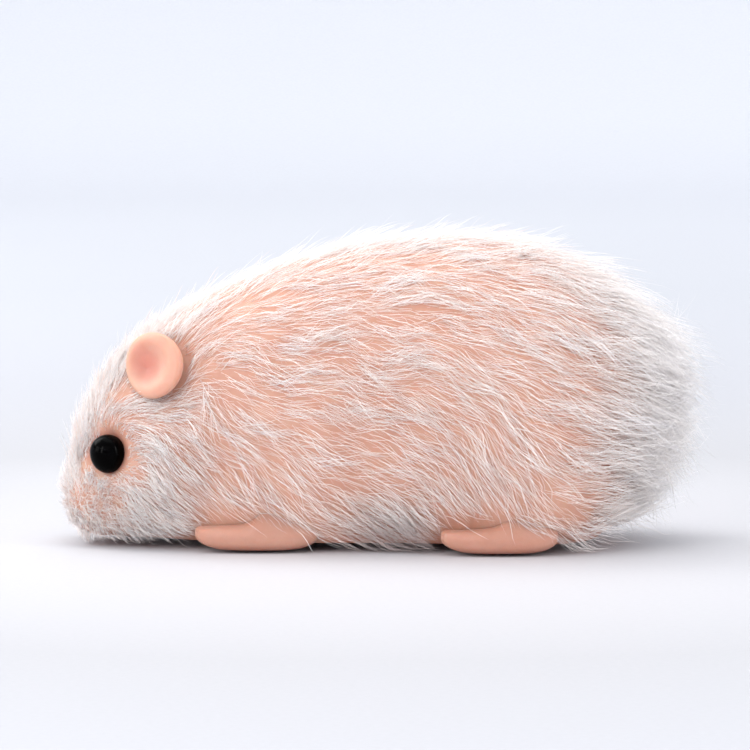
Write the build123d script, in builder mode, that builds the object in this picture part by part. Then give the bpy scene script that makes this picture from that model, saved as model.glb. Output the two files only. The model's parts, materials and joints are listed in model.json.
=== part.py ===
"""A wind-up mouse: a soft vinyl body with a hair coat, bead eyes, bare ears and paws, on a clockwork chassis.

Frame: +Z up, the nose points to -Y and the left flank to +X. The floor is z = 0. Everything is first drawn about
the mouse's own mid-plane, x = 0, and moved by SHIFT_X when it is written, because the key stands out on the
right and the origin is the centre of the whole object's outline on the floor. All sizes are in millimetres.
"""

import os
from math import acos, atan2, cos, degrees, hypot, pi, radians, sin, sqrt, tan

from build123d import *

# ---- Body skin: stations along Y as (y, low, high, half width). The belly is then cut flat at BELLY_Z.
SKIN = [
    (-51.2, 6.0, 14.5, 3.4),
    (-50.0, 2.6, 20.0, 7.2),
    (-47.5, 0.9, 25.6, 9.8),
    (-43.5, 0.2, 31.2, 12.2),
    (-38.0, -0.6, 36.4, 14.2),
    (-30.5, -2.5, 41.4, 15.8),
    (-21.5, -4.0, 45.4, 17.4),
    (-10.0, -5.0, 49.2, 19.6),
    (3.0, -5.0, 51.5, 21.5),
    (15.0, -5.0, 51.9, 22.4),
    (25.0, -5.0, 50.0, 22.0),
    (33.0, -3.5, 45.0, 19.6),
    (39.0, 3.0, 36.5, 14.8),
    (42.4, 8.8, 29.5, 9.4),
    (43.8, 14.0, 24.5, 4.6),
]
SKIN_WALL = 1.7
BELLY_Z = 1.3
FLOOR_PLATE = 1.6
LOWER_FULLNESS = 3.0
OUTLINE_POINTS = 16

# ---- Hair coat: the outer face of the pile, at its own stations.
FUR = [
    (-53.2, 5.5, 15.5, 4.0),
    (-51.6, 1.6, 22.0, 8.6),
    (-48.5, 0.0, 27.6, 11.4),
    (-43.5, -0.8, 33.4, 13.8),
    (-38.0, -1.4, 38.4, 15.8),
    (-30.5, -3.6, 43.2, 17.6),
    (-21.5, -5.2, 47.3, 19.4),
    (-10.0, -6.4, 51.2, 21.8),
    (3.0, -6.6, 53.7, 23.9),
    (15.0, -6.6, 54.3, 25.2),
    (25.0, -6.6, 53.2, 25.2),
    (35.0, -5.0, 49.8, 23.4),
    (44.0, 2.0, 43.4, 18.6),
    (50.5, 10.0, 34.6, 12.6),
    (53.2, 16.5, 26.5, 6.4),
]
FUR_LOW_Z = 0.5
FAR = 60.0

# ---- Face and paws.
EYE_RADIUS = 3.0
EYE_AT = (10.8, -45.4, 16.2)
EYE_STEM_RADIUS = 1.0
EYE_STEM_LENGTH = 7.0
WASHER_RADIUS = 2.4
WASHER_THICK = 0.5
WASHER_FROM_EYE = 5.2
EAR_AT = (12.2, -37.4, 30.8)
EAR_FACING = (0.86, -0.42, 0.29)
EAR_RADIUS = 5.5
EAR_DEPTH = 2.4
EAR_THICK = 1.2
EAR_STEM_RADIUS = 1.7
EAR_STEM_LENGTH = 5.5
PAW_SOLE_Z = 0.3
FRONT_PAW = {"x": 15.3, "y": -20.4, "length": 20.5, "width": 6.2, "height": 4.6}
REAR_PAW = {"x": 19.8, "y": 19.8, "length": 20.0, "width": 6.2, "height": 4.4}
PAW_ROUNDING = 1.9
PAW_PEG_RADIUS = 1.4
PAW_PEG_LENGTH = 3.0
PAW_PEG_INBOARD = 1.8

# ---- Gear train. Shafts lie along X; their places are (y, z).
MODULE = 0.5
PRESSURE_ANGLE = radians(25)
ADDENDUM = 0.9 * MODULE
DEDENDUM = 1.2 * MODULE
TOOTH_THINNING = 0.08
FLANK_POINTS = 4
GREAT_TEETH, PINION_TEETH, SECOND_TEETH, IDLER_TEETH = 40, 10, 30, 12
WHEEL_THICK = 1.2
SHAFT_RADIUS = 1.0
RUNNING_GAP = 0.05
END_SHAKE = 0.1

DRIVE_RADIUS = 6.0
AXLE_AT = (20.0, DRIVE_RADIUS)


def centres_apart(teeth_a, teeth_b):
    return MODULE * (teeth_a + teeth_b) / 2


def beside(at, apart, angle):
    """The point at that distance from a shaft; the angle runs from +Y towards +Z."""
    return (at[0] + apart * cos(radians(angle)), at[1] + apart * sin(radians(angle)))


IDLER_AT = beside(AXLE_AT, centres_apart(IDLER_TEETH, PINION_TEETH), 110)
SECOND_AT = beside(IDLER_AT, centres_apart(SECOND_TEETH, IDLER_TEETH), 60)
ARBOR_AT = beside(SECOND_AT, centres_apart(GREAT_TEETH, PINION_TEETH), 140)
FLYWHEEL_AT = beside(SECOND_AT, centres_apart(SECOND_TEETH, PINION_TEETH), 25)

PLATE_INNER_X = 7.0
PLATE_THICK = 1.0
PLATE_OUTER_X = PLATE_INNER_X + PLATE_THICK
GREAT_WHEEL_X = -6.4
SECOND_PINION_X = -6.8
RATCHET_X = -5.0
SECOND_WHEEL_X = -3.4
PINION_X = -3.9
PINION_LENGTH = 2.2
SPRING_X = -1.6
SPRING_WIDTH = 7.0
FLYWHEEL_X = -0.6
FLYWHEEL_THICK = 3.2
FLYWHEEL_RADIUS = 6.0
FLYWHEEL_RIM = 1.6

PILLARS = [(4.2, 36.8), (25.2, 36.4), (34.0, 9.0), (4.6, 9.4)]
PILLAR_RADIUS = 1.4
PILLAR_SCREW_RADIUS = 0.6

# ---- Winding side, on the right flank.
ARBOR_RADIUS = 1.5
ARBOR_NECK_RADIUS = 1.1
ARBOR_END_X = 34.0
KEY_SQUARE = 1.5
KEY_HUB_X = 26.2
KEY_END_X = 37.6
KEY_HUB_RADIUS = 2.1
KEY_HUB_LENGTH = 7.6
KEY_WING_RADIUS = 3.9
KEY_WING_OUT = 4.6
KEY_WING_THICK = 1.5
KEY_HOLE_RADIUS = 1.9
BUSH_RADIUS = 2.6
BUSH_FLANGE_RADIUS = 3.6
BUSH_FLANGE_THICK = 0.8
BUSH_LENGTH = 3.2
BUSH_X = -22.2
RATCHET_TEETH = 12
RATCHET_RADIUS = 4.2
RATCHET_ROOT = 3.3
CLICK_STUD_OUT = 7.4
CLICK_STUD_ANGLE = 48.0
CLICK_STUD_RADIUS = 0.6
CLICK_HEAD_RADIUS = 1.1
CLICK_THICK = 0.8
CLICK_TIP_GAP = 0.12
SPRING_TURNS = 9
SPRING_IN_RADIUS = 1.85
SPRING_OUT_RADIUS = 8.8
SPRING_STRIP = 0.25

# ---- Chassis and wheels.
PLATE_HALF_WIDTH = 14.0
PLATE_FRONT_HALF_WIDTH = 10.5
PLATE_FRONT_Y, PLATE_WAIST_Y, PLATE_HIP_Y, PLATE_REAR_Y = -26.5, -9.0, 6.0, 33.0
PLATE_CORNER = 4.0
FLANGE_OUT = 1.3
FLANGE_IN = 1.0
FLANGE_THICK = 1.0
PLATE_TOP_Z = BELLY_Z + FLOOR_PLATE
PAD_SIZE = (12.0, 14.0)
PAD_Y = -3.0
PAD_DROP = 0.3
DRIVE_WHEEL_X = 8.8
DRIVE_WHEEL_WIDTH = 3.8
TYRE_THICK = 1.3
FRONT_AXLE_AT = (-18.0, 4.0)
FRONT_AXLE_RADIUS = 0.8
FRONT_WHEEL_X = 6.2
FRONT_WHEEL_WIDTH = 2.8
WHEEL_GAP = 0.4
BEARING_X = 3.6
BEARING_WIDTH = 2.0
BEARING_LENGTH = 4.0
SCREW_RADIUS = 0.8
SCREW_HEAD_RADIUS = 1.5
SCREW_HEAD = 0.8
FOOT_LENGTH = 4.2
FOOT_WIDTH = 4.4
FOOT_THICK = 1.0
FEET_Y = (8.0, 29.0)

# ---- Where the mid-plane stands in the written frame: the outline's centre is at x = 0.
FUR_HALF_WIDTH = max(half_width for _, _, _, half_width in FUR)
SHIFT_X = (KEY_END_X - FUR_HALF_WIDTH) / 2

os.makedirs("parts", exist_ok=True)


def write(shape, label):
    """Moves a finished piece into the written frame and saves it as its own node."""
    piece = shape.moved(Location((SHIFT_X, 0, 0)))
    piece.label = label
    export_step(piece, f"parts/{label}.step")


def across(x, at=(0.0, 0.0)):
    """A sketch plane square to X at that x, centred on a shaft at (y, z)."""
    return Plane(origin=(x, *at), x_dir=(0, 1, 0), z_dir=(1, 0, 0))


def mirrored(shape):
    """The same piece on the right side."""
    return mirror(shape, Plane.YZ)


# ======================================================================== body skin and hair coat


def outline(low, high, half_width, lower_fullness=LOWER_FULLNESS):
    """Points round one cross-section: an ellipse above its widest line, a fuller superellipse below it."""
    middle, half_height = (low + high) / 2, (high - low) / 2
    points = []
    for step in range(OUTLINE_POINTS):
        angle = 2 * pi * step / OUTLINE_POINTS
        power = 1.0 if sin(angle) >= 0 else 2 / lower_fullness
        across_share = abs(cos(angle)) ** power * (1 if cos(angle) >= 0 else -1)
        up_share = abs(sin(angle)) ** power * (1 if sin(angle) >= 0 else -1)
        points.append((half_width * across_share, middle + half_height * up_share))
    return points


def body_form(stations, inset=0.0):
    """A closed solid lofted through the stations, each drawn smaller all round by inset."""
    with BuildPart() as form:
        for y, low, high, half_width in stations:
            with BuildSketch(Plane.XZ.offset(-y)):
                with BuildLine():
                    Spline(*outline(low + inset, high - inset, half_width - inset), periodic=True)
                make_face()
        loft()
    return form.part


def slab(low, high):
    """A box between two corners."""
    size = [b - a for a, b in zip(low, high)]
    centre = [(a + b) / 2 for a, b in zip(low, high)]
    return Pos(*centre) * Box(*size, mode=Mode.PRIVATE)


def plate_outline(grow=0.0):
    """Corner points of the belly plate, grown all round."""
    side = [
        (PLATE_FRONT_HALF_WIDTH + grow, PLATE_FRONT_Y - grow),
        (PLATE_FRONT_HALF_WIDTH + grow, PLATE_WAIST_Y),
        (PLATE_HALF_WIDTH + grow, PLATE_HIP_Y),
        (PLATE_HALF_WIDTH + grow, PLATE_REAR_Y + grow),
    ]
    return side + [(-x, y) for x, y in reversed(side)]


def plate_form(z, thick, grow=0.0):
    """A flat solid with the belly plate's outline."""
    with BuildPart() as form:
        with BuildSketch(Plane.XY.offset(z)):
            with BuildLine():
                Polyline(*plate_outline(grow), close=True)
            make_face()
            fillet(vertices(), PLATE_CORNER)
        extrude(amount=thick)
    return form.part


def paw(size):
    """A long soft paw on the left side with a flat sole, and a peg that holds it in the skin."""
    with BuildPart() as form:
        with BuildSketch(Plane.XY.offset(PAW_SOLE_Z)):
            with Locations((size["x"], size["y"])):
                SlotOverall(size["length"], size["width"], rotation=90)
        extrude(amount=size["height"])
        fillet(form.edges().group_by(Axis.Z)[0] + form.edges().group_by(Axis.Z)[-1], PAW_ROUNDING)
        with BuildSketch(Plane.XY.offset(PAW_SOLE_Z + size["height"] / 2)):
            with Locations((size["x"] - PAW_PEG_INBOARD, size["y"])):
                Circle(PAW_PEG_RADIUS)
        extrude(amount=size["height"] / 2 + PAW_PEG_LENGTH)
    return form.part


def eye():
    """The left bead eye and its stem, which points inwards."""
    with BuildPart() as bead:
        with Locations(EYE_AT):
            Sphere(EYE_RADIUS)
        with BuildSketch(across(EYE_AT[0] - EYE_STEM_LENGTH, EYE_AT[1:])):
            Circle(EYE_STEM_RADIUS)
        extrude(amount=EYE_STEM_LENGTH)
    return bead.part


def eye_washer():
    """The washer that grips the left eye's stem inside the head."""
    with BuildPart() as washer:
        with BuildSketch(across(EYE_AT[0] - WASHER_FROM_EYE - WASHER_THICK, EYE_AT[1:])):
            Circle(WASHER_RADIUS)
            Circle(EYE_STEM_RADIUS, mode=Mode.SUBTRACT)
        extrude(amount=WASHER_THICK)
    return washer.part


def ear(filled=False):
    """The left ear: a shallow bowl that faces out and forwards, on a stem that goes into the head."""
    facing = Plane(origin=EAR_AT, z_dir=EAR_FACING)
    bowl_radius = (EAR_RADIUS**2 + EAR_DEPTH**2) / (2 * EAR_DEPTH)
    half_angle = degrees(acos((bowl_radius - EAR_DEPTH) / bowl_radius))
    section = Plane(origin=EAR_AT, x_dir=facing.x_dir, z_dir=-facing.y_dir)
    with BuildPart() as bowl:
        with BuildSketch(section):
            with BuildLine():
                inner = CenterArc((0, bowl_radius - EAR_DEPTH), bowl_radius, -90, half_angle)
                outer = CenterArc((0, bowl_radius - EAR_DEPTH), bowl_radius + EAR_THICK, -90, half_angle)
                Line(inner @ 0, outer @ 0)
                RadiusArc(inner @ 1, outer @ 1, EAR_THICK / 1.9)
            make_face()
            if filled:
                with BuildLine():
                    Polyline(
                        (0, -EAR_DEPTH - EAR_THICK / 2),
                        (EAR_RADIUS * 0.6, -EAR_DEPTH * 0.75),
                        (EAR_RADIUS + 0.3, 0),
                        (EAR_RADIUS + 0.3, 1),
                        (0, 1),
                        close=True,
                    )
                make_face()
        revolve(axis=Axis(EAR_AT, EAR_FACING))
        with BuildSketch(facing.offset(-EAR_DEPTH - EAR_THICK / 2)):
            Circle(EAR_STEM_RADIUS)
        extrude(amount=-EAR_STEM_LENGTH)
    return bowl.part


def key_bush(bored=True):
    """The flanged bush in the right flank that the winding arbor comes out through."""
    with BuildPart() as bush:
        with BuildSketch(across(BUSH_X - BUSH_FLANGE_THICK, ARBOR_AT)):
            Circle(BUSH_FLANGE_RADIUS)
        extrude(amount=BUSH_FLANGE_THICK)
        with BuildSketch(across(BUSH_X, ARBOR_AT)):
            Circle(BUSH_RADIUS)
        extrude(amount=BUSH_LENGTH)
        if bored:
            with BuildSketch(across(BUSH_X - BUSH_FLANGE_THICK, ARBOR_AT)):
                Circle(ARBOR_NECK_RADIUS + RUNNING_GAP)
            extrude(amount=BUSH_FLANGE_THICK + BUSH_LENGTH, mode=Mode.SUBTRACT)
    return bush.part


def two_sided(outside, left_cuts, right_cut):
    """A symmetric piece: its left half with the left cuts, the mirror of that, and one cut on the right."""
    left_half = outside & slab((0, -FAR, -FAR), (FAR, FAR, FAR))
    with BuildPart() as left:
        add(left_half)
        for cut in left_cuts:
            add(cut, mode=Mode.SUBTRACT)
    with BuildPart() as whole:
        add(left.part)
        add(mirrored(left.part))
        add(right_cut, mode=Mode.SUBTRACT)
    return whole.part


def body_skin(left_fittings):
    """The hollow vinyl body, open under the belly for the plate, and pierced for every fitting."""
    cavity_span = slab(
        (-FAR, SKIN[0][0] + SKIN_WALL + 0.6, PLATE_TOP_Z), (FAR, SKIN[-1][0] - SKIN_WALL - 0.4, FAR)
    )
    cavity = body_form(SKIN, SKIN_WALL) & cavity_span
    below_belly = slab((-FAR, -FAR, -FAR), (FAR, FAR, BELLY_Z))
    belly_mouth = plate_form(BELLY_Z - 1, FLOOR_PLATE + 1)
    return two_sided(
        body_form(SKIN), [below_belly, cavity, belly_mouth, *left_fittings], key_bush(bored=False)
    )


def fur_coat(left_fittings):
    """The standing pile as one closed layer round the skin, parted round the ears, eyes, paws and key."""
    below = slab((-FAR, -FAR, -FAR), (FAR, FAR, FUR_LOW_Z))
    eye_parting = Pos(*EYE_AT) * Sphere(EYE_RADIUS + 0.6)
    ear_parting = Pos(*EAR_AT) * Sphere(EAR_RADIUS + 1.4)
    key_parting = shaft(ARBOR_AT, -FAR, 0, BUSH_FLANGE_RADIUS + 0.5)
    partings = [body_form(SKIN), below, eye_parting, ear_parting, *left_fittings]
    return two_sided(body_form(FUR), partings, key_parting)


# ======================================================================== gears, shafts and springs


def gear_points(teeth, phase):
    """The outline of an involute spur gear with one tooth centred at the phase angle, in radians."""
    pitch_radius = MODULE * teeth / 2
    base_radius = pitch_radius * cos(PRESSURE_ANGLE)
    tip_radius = pitch_radius + ADDENDUM
    root_radius = pitch_radius - DEDENDUM
    start_radius = max(base_radius, root_radius)
    half_at_pitch = (pi * MODULE / 2 - TOOTH_THINNING) / 2 / pitch_radius
    involute_at_pitch = tan(PRESSURE_ANGLE) - PRESSURE_ANGLE

    def half_angle(radius):
        slope = sqrt(max((radius / base_radius) ** 2 - 1, 0.0))
        return half_at_pitch + involute_at_pitch - (slope - atan2(slope, 1))

    flank = [(root_radius, half_angle(start_radius))] if root_radius < base_radius else []
    for step in range(FLANK_POINTS + 1):
        radius = start_radius + (tip_radius - start_radius) * step / FLANK_POINTS
        flank.append((radius, half_angle(radius)))
    points = []
    for tooth in range(teeth):
        middle = phase + 2 * pi * tooth / teeth
        rising = [(radius, middle - half) for radius, half in flank]
        falling = [(radius, middle + half) for radius, half in reversed(flank)]
        points += [(r * cos(a), r * sin(a)) for r, a in rising + falling]
    return points


def meshed_phase(phase, teeth, at, mate_teeth, mate_at):
    """The phase that puts a gear at mate_at into mesh with one of that phase at at."""
    angle = atan2(mate_at[1] - at[1], mate_at[0] - at[0])
    tooth_share = (angle - phase) * teeth / (2 * pi)
    return angle + pi - (0.5 - tooth_share) * 2 * pi / mate_teeth


def gear(teeth, phase, at, x, thick, bore):
    """A spur gear between x and x + thick, with a plain bore."""
    with BuildPart() as wheel:
        with BuildSketch(across(x, at)):
            with BuildLine():
                Polyline(*gear_points(teeth, phase), close=True)
            make_face()
            Circle(bore, mode=Mode.SUBTRACT)
        extrude(amount=thick)
    return wheel.part


def shaft(at, x_from, x_to, radius=SHAFT_RADIUS):
    """A plain round bar along X."""
    with BuildPart() as bar:
        with BuildSketch(across(x_from, at)):
            Circle(radius)
        extrude(amount=x_to - x_from)
    return bar.part


def lightened(wheel, at, x, thick, ring, hole, count):
    """The wheel with a ring of round holes."""
    with BuildPart() as spoked:
        add(wheel)
        with BuildSketch(across(x, at)):
            with PolarLocations(ring, count):
                Circle(hole)
        extrude(amount=thick, mode=Mode.SUBTRACT)
    return spoked.part


def ratchet_wheel():
    """Saw teeth on the winding arbor; each steep face pushes the click when the spring drives."""
    with BuildPart() as ratchet:
        with BuildSketch(across(RATCHET_X, ARBOR_AT)):
            with BuildLine():
                points = []
                for tooth in range(RATCHET_TEETH):
                    angle = 2 * pi * tooth / RATCHET_TEETH
                    points.append((RATCHET_ROOT * cos(angle), RATCHET_ROOT * sin(angle)))
                    points.append((RATCHET_RADIUS * cos(angle), RATCHET_RADIUS * sin(angle)))
                Polyline(*points, close=True)
            make_face()
            Circle(ARBOR_RADIUS, mode=Mode.SUBTRACT)
        extrude(amount=CLICK_THICK)
    return ratchet.part


def click_place():
    """The click's stud on the great wheel, in the arbor's (y, z) plane."""
    return beside((0, 0), CLICK_STUD_OUT, CLICK_STUD_ANGLE)


def click():
    """The pawl: an eye on its stud and a nose that rests in a ratchet tooth."""
    stud = click_place()
    tooth_angle = 90.0
    nose = beside((0, 0), RATCHET_ROOT + CLICK_TIP_GAP, tooth_angle - 3.0)
    back = beside((0, 0), RATCHET_RADIUS + 0.55, tooth_angle - 5.0)
    with BuildPart() as pawl:
        with BuildSketch(across(RATCHET_X, ARBOR_AT)):
            with BuildLine():
                away = atan2(stud[1] - nose[1], stud[0] - nose[0])
                side = CLICK_HEAD_RADIUS * 0.8
                low = (stud[0] + side * sin(away), stud[1] - side * cos(away))
                high = (stud[0] - side * sin(away), stud[1] + side * cos(away))
                Polyline(nose, low, high, back, close=True)
            make_face()
            with Locations(stud):
                Circle(CLICK_HEAD_RADIUS)
                Circle(CLICK_STUD_RADIUS + RUNNING_GAP, mode=Mode.SUBTRACT)
        extrude(amount=CLICK_THICK)
    return pawl.part


def click_stud():
    """The stud that carries the click, riveted in the great wheel."""
    stud_at = (ARBOR_AT[0] + click_place()[0], ARBOR_AT[1] + click_place()[1])
    return shaft(stud_at, GREAT_WHEEL_X, RATCHET_X + CLICK_THICK + 0.3, CLICK_STUD_RADIUS)


def click_spring():
    """A leaf on the great wheel that presses the click's nose inwards."""
    root = beside((0, 0), 8.4, 68.0)
    tip = beside((0, 0), RATCHET_RADIUS + 1.05, 84.0)
    lean = atan2(tip[1] - root[1], tip[0] - root[0])
    half = 0.11
    off = (half * sin(lean), -half * cos(lean))
    with BuildPart() as leaf:
        with BuildSketch(across(GREAT_WHEEL_X + WHEEL_THICK, ARBOR_AT)):
            with Locations(root):
                Circle(0.6)
        extrude(amount=CLICK_THICK + 0.2)
        with BuildSketch(across(RATCHET_X, ARBOR_AT)):
            with BuildLine():
                Polyline(
                    (root[0] + off[0], root[1] + off[1]),
                    (tip[0] + off[0], tip[1] + off[1]),
                    (tip[0] - off[0], tip[1] - off[1]),
                    (root[0] - off[0], root[1] - off[1]),
                    close=True,
                )
            make_face()
        extrude(amount=CLICK_THICK)
    return leaf.part


def mainspring():
    """The flat spiral spring, relaxed, with its outer end hooked round the first pillar."""
    pillar = (PILLARS[0][0] - ARBOR_AT[0], PILLARS[0][1] - ARBOR_AT[1])
    loop_radius = PILLAR_RADIUS + SPRING_STRIP / 2
    apart = hypot(*pillar)
    last_angle = atan2(pillar[1], pillar[0]) + acos((SPRING_OUT_RADIUS - loop_radius) / apart)
    first_angle = last_angle + 2 * pi * SPRING_TURNS
    tangent = last_angle - pi / 2
    points_a_turn = 16
    steps = SPRING_TURNS * points_a_turn

    def edge(side):
        points = []
        for step in range(steps + 1):
            share = step / steps
            angle = first_angle + (last_angle - first_angle) * share
            radius = SPRING_IN_RADIUS + (SPRING_OUT_RADIUS - SPRING_IN_RADIUS) * share + side
            points.append((radius * cos(angle), radius * sin(angle)))
        return points

    length = sqrt(apart**2 - (SPRING_OUT_RADIUS - loop_radius) ** 2)
    inner, outer = edge(-SPRING_STRIP / 2), edge(SPRING_STRIP / 2)
    ends = [(p[0] + length * cos(tangent), p[1] + length * sin(tangent)) for p in (inner[-1], outer[-1])]
    with BuildPart() as spring:
        with BuildSketch(across(SPRING_X, ARBOR_AT)):
            with BuildLine():
                Spline(*inner)
                Polyline(inner[-1], ends[0], ends[1], outer[-1])
                Spline(*outer)
                Line(outer[0], inner[0])
            make_face()
            with Locations(pillar):
                Circle(PILLAR_RADIUS + SPRING_STRIP)
                Circle(PILLAR_RADIUS, mode=Mode.SUBTRACT)
        extrude(amount=SPRING_WIDTH)
    return spring.part


def winding_arbor():
    """The arbor: thick between the plates, a neck out through the flank, and a square end for the key."""
    shoulder = PLATE_INNER_X - END_SHAKE
    with BuildPart() as arbor:
        add(shaft(ARBOR_AT, -shoulder, shoulder, ARBOR_RADIUS))
        add(shaft(ARBOR_AT, -KEY_HUB_X, PLATE_OUTER_X + END_SHAKE, ARBOR_NECK_RADIUS))
        with BuildSketch(across(-ARBOR_END_X + 1.0, ARBOR_AT)):
            Rectangle(KEY_SQUARE, KEY_SQUARE)
        extrude(amount=ARBOR_END_X - 1.0 - KEY_HUB_X)
    return arbor.part


def winding_key():
    """A two-lobed key: a hub with a square hole, and flat wings with a round hole in each."""
    with BuildPart() as key:
        add(shaft(ARBOR_AT, -KEY_HUB_X - KEY_HUB_LENGTH, -KEY_HUB_X, KEY_HUB_RADIUS))
        wing_x = -KEY_END_X + KEY_WING_RADIUS
        with BuildSketch(Plane.XZ.offset(-ARBOR_AT[0] - KEY_WING_THICK / 2)):
            for side in (-1, 1):
                with Locations((wing_x, ARBOR_AT[1] + side * KEY_WING_OUT)):
                    Circle(KEY_WING_RADIUS)
            with Locations((wing_x + 0.6, ARBOR_AT[1])):
                Rectangle(KEY_WING_RADIUS * 1.2, KEY_WING_OUT * 2)
            for side in (-1, 1):
                with Locations((wing_x, ARBOR_AT[1] + side * KEY_WING_OUT)):
                    Circle(KEY_HOLE_RADIUS, mode=Mode.SUBTRACT)
        extrude(amount=KEY_WING_THICK)
        with BuildSketch(across(-ARBOR_END_X + 1.0, ARBOR_AT)):
            Rectangle(KEY_SQUARE, KEY_SQUARE)
        extrude(amount=ARBOR_END_X - 1.0 - KEY_HUB_X, mode=Mode.SUBTRACT)
    return key.part


def flywheel():
    """A small governor flywheel: a thick rim on a thin web, over its shaft."""
    with BuildPart() as wheel:
        with BuildSketch(across(FLYWHEEL_X, FLYWHEEL_AT)):
            Circle(FLYWHEEL_RADIUS)
            Circle(FLYWHEEL_RADIUS - FLYWHEEL_RIM, mode=Mode.SUBTRACT)
        extrude(amount=FLYWHEEL_THICK)
        with BuildSketch(across(FLYWHEEL_X + 1.0, FLYWHEEL_AT)):
            Circle(FLYWHEEL_RADIUS - FLYWHEEL_RIM)
            Circle(SHAFT_RADIUS, mode=Mode.SUBTRACT)
        extrude(amount=1.2)
    return wheel.part


# ======================================================================== frame, belly plate and wheels


def motor_plate(side):
    """One frame plate, drilled for the shafts and pillars, with two feet turned inwards; side is -1 or 1."""
    x = -PLATE_OUTER_X if side < 0 else PLATE_INNER_X
    corners = [(2.0, PLATE_TOP_Z), (31.0, PLATE_TOP_Z), (36.8, 8.0), (37.4, 22.0), (36.0, 29.0)]
    corners += [(27.6, 39.2), (2.4, 39.4)]
    bores = [(IDLER_AT, SHAFT_RADIUS), (SECOND_AT, SHAFT_RADIUS), (FLYWHEEL_AT, SHAFT_RADIUS)]
    bores += [(AXLE_AT, SHAFT_RADIUS), (ARBOR_AT, ARBOR_NECK_RADIUS)]
    with BuildPart() as plate:
        with BuildSketch(across(x)):
            with BuildLine():
                Polyline(*corners, close=True)
            make_face()
            fillet(vertices(), 2.0)
            for at, radius in bores:
                with Locations(at):
                    Circle(radius + RUNNING_GAP, mode=Mode.SUBTRACT)
            with Locations(*PILLARS):
                Circle(PILLAR_SCREW_RADIUS, mode=Mode.SUBTRACT)
            with Locations((11.5, 13.0)):
                Circle(3.4, mode=Mode.SUBTRACT)
        extrude(amount=PLATE_THICK)
        with BuildSketch(Plane.XY.offset(PLATE_TOP_Z)):
            for y in FEET_Y:
                with Locations((side * (PLATE_OUTER_X - FOOT_WIDTH / 2), y)):
                    Rectangle(FOOT_WIDTH, FOOT_LENGTH)
        extrude(amount=FOOT_THICK)
        with BuildSketch(Plane.XY.offset(PLATE_TOP_Z)):
            with Locations(*foot_places(side)):
                Circle(SCREW_RADIUS)
        extrude(amount=FOOT_THICK, mode=Mode.SUBTRACT)
    return plate.part


def foot_places(side):
    """Where the motor's fixing screws stand, as (x, y)."""
    return [(side * (PLATE_INNER_X - 1.6), y) for y in FEET_Y]


def frame_pillars():
    """The four round spacers between the frame plates."""
    with BuildPart() as pillars:
        with BuildSketch(across(-PLATE_INNER_X)):
            with Locations(*PILLARS):
                Circle(PILLAR_RADIUS)
                Circle(PILLAR_SCREW_RADIUS, mode=Mode.SUBTRACT)
        extrude(amount=2 * PLATE_INNER_X)
    return pillars.part


def pillar_screws():
    """Two small screws in each pillar, one from each plate."""
    reach = 3.0
    with BuildPart() as screws:
        for side in (-1, 1):
            outer = side * PLATE_OUTER_X
            with BuildSketch(across(outer)):
                with Locations(*PILLARS):
                    Circle(PILLAR_SCREW_RADIUS)
            extrude(amount=-side * (PLATE_THICK + reach))
            with BuildSketch(across(outer)):
                with Locations(*PILLARS):
                    Circle(PILLAR_SCREW_RADIUS * 2)
            extrude(amount=side * 0.6)
    return screws.part


def belly_plate():
    """The plate that closes the belly: wheel slots, front bearings, a flange that holds the skin, and a pad."""
    with BuildPart() as plate:
        add(plate_form(BELLY_Z, FLOOR_PLATE))
        add(plate_form(PLATE_TOP_Z, FLANGE_THICK, FLANGE_OUT))
        add(plate_form(PLATE_TOP_Z, FLANGE_THICK, -FLANGE_IN), mode=Mode.SUBTRACT)
        with BuildSketch(Plane.XY.offset(BELLY_Z - PAD_DROP)):
            with Locations((0, PAD_Y)):
                RectangleRounded(*PAD_SIZE, 1.5)
        extrude(amount=PAD_DROP)
        for side in (-1, 1):
            with BuildSketch(Plane.XY.offset(PLATE_TOP_Z)):
                with Locations((side * (BEARING_X + BEARING_WIDTH / 2), FRONT_AXLE_AT[0])):
                    Rectangle(BEARING_WIDTH, BEARING_LENGTH)
            extrude(amount=FRONT_AXLE_AT[1] + 1.8 - PLATE_TOP_Z)
        with BuildSketch(across(-PLATE_HALF_WIDTH, FRONT_AXLE_AT)):
            Circle(FRONT_AXLE_RADIUS + RUNNING_GAP)
        extrude(amount=2 * PLATE_HALF_WIDTH, mode=Mode.SUBTRACT)
        with BuildSketch(Plane.XY.offset(BELLY_Z)):
            for side in (-1, 1):
                for x, width, at, radius in (
                    (DRIVE_WHEEL_X, DRIVE_WHEEL_WIDTH, AXLE_AT, DRIVE_RADIUS),
                    (FRONT_WHEEL_X, FRONT_WHEEL_WIDTH, FRONT_AXLE_AT, FRONT_AXLE_AT[1]),
                ):
                    with Locations((side * (x + width / 2), at[0])):
                        Rectangle(width + 2 * WHEEL_GAP, 2 * (radius + WHEEL_GAP))
        extrude(amount=FLOOR_PLATE + FLANGE_THICK, mode=Mode.SUBTRACT)
        with BuildSketch(Plane.XY.offset(BELLY_Z)):
            with Locations(*foot_places(-1), *foot_places(1)):
                Circle(SCREW_HEAD_RADIUS)
        extrude(amount=SCREW_HEAD, mode=Mode.SUBTRACT)
        with BuildSketch(Plane.XY.offset(BELLY_Z)):
            with Locations(*foot_places(-1), *foot_places(1)):
                Circle(SCREW_RADIUS)
        extrude(amount=FLOOR_PLATE, mode=Mode.SUBTRACT)
    return plate.part


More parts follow.
